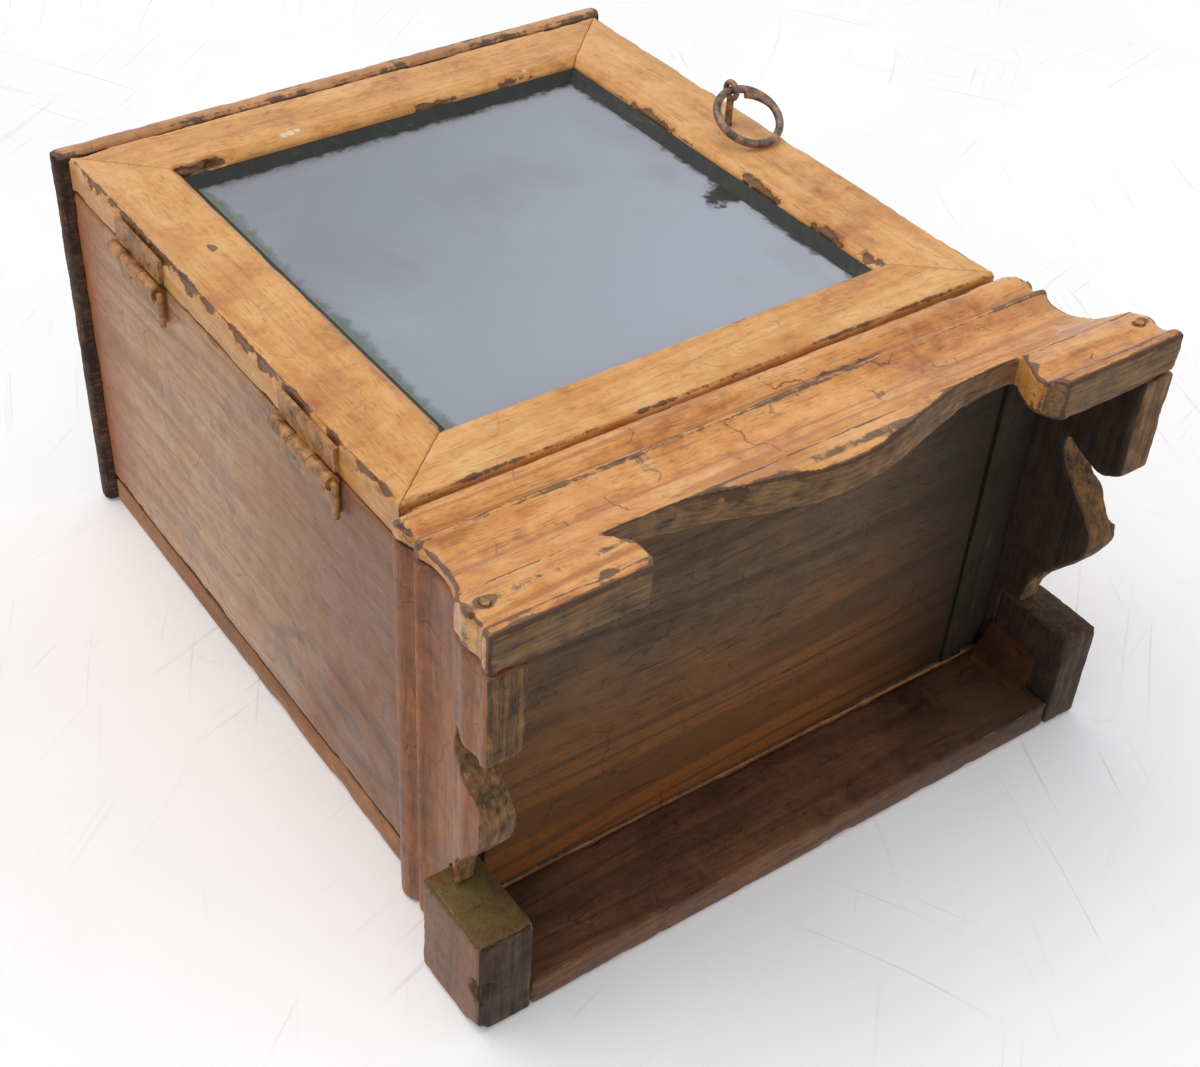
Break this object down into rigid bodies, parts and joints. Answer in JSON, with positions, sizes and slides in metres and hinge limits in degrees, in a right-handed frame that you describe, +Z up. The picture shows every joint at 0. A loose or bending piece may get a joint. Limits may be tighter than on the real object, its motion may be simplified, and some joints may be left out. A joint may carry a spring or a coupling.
{
  "type": "fishing lure display case",
  "caption": "Small upright wooden display case with a glazed hinged door, ring pull, overhanging top board and moulded bracket-foot plinth.",
  "frame": {"origin": "centre of the bounding box at floor level, between the feet", "axes": "+Z up, -Y towards the glazed door, +X towards the ring pull; the hinges are at -X"},
  "size_m": [0.285, 0.1914, 0.3356],
  "materials": {
    "door_wood": "worn varnished, honey brown",
    "plinth_wood": "worn varnished, honey brown with grey-purple rubbed edges",
    "case_wood": "worn dark varnish, streaked",
    "inner_wood": "raw, aged dark",
    "back_wood": "thin worn varnish",
    "foot_wood": "raw, aged, greenish",
    "top_wood": "dark worn varnish",
    "glue_block_wood": "raw orange-brown",
    "pane": "old window glass, slightly wavy",
    "putty": "old dark glazing putty, greenish",
    "bead_wood": "raw",
    "hinge_iron": "painted over, rubbed, rusty",
    "nail_iron": "rusty",
    "ring_iron": "dark, rubbed, some rust"
  },
  "bodies": {
    "case": {"top_board": "top_wood", "side_panel_left": "case_wood", "side_panel_right": "case_wood", "back_board": "back_wood", "floor_board": "inner_wood", "floor_strip_front": "inner_wood", "floor_strip_rear": "inner_wood", "front_sill": "inner_wood", "plinth_front": "plinth_wood", "plinth_side_left": "plinth_wood", "plinth_side_right": "plinth_wood", "rear_foot_left": "foot_wood", "rear_foot_right": "foot_wood", "back_rail": "inner_wood", "foot_block": "glue_block_wood", "back_nails": "nail_iron", "plinth_nails": "nail_iron", "hinge_leaf_case_upper": "hinge_iron", "hinge_leaf_case_lower": "hinge_iron", "hinge_pin_upper": "hinge_iron", "hinge_pin_lower": "hinge_iron", "hinge_nails_case": "nail_iron"},
    "door": {"door_top_rail": "door_wood", "door_bottom_rail": "door_wood", "door_hinge_stile": "door_wood", "door_closing_stile": "door_wood", "glass_pane": "pane", "glazing_putty": "putty", "glazing_beads": "bead_wood", "bead_pins": "nail_iron", "door_latch_block": "bead_wood", "hinge_leaf_door_upper": "hinge_iron", "hinge_leaf_door_lower": "hinge_iron", "hinge_nails_door": "nail_iron", "ring_eye": "ring_iron"},
    "ring": {"ring_pull": "ring_iron"}
  },
  "joints": [
    {"name": "door_hinge", "type": "hinge", "parent": "case", "child": "door", "pos_m": [-0.1292, -0.06125, 0.195], "axis": [0, 0, -1], "range_deg": [0, 170]},
    {"name": "ring_swing", "type": "hinge", "parent": "door", "child": "ring", "pos_m": [0.1138, -0.09125, 0.2137], "axis": [-1, 0, 0], "range_deg": [0, 235]}
  ]
}
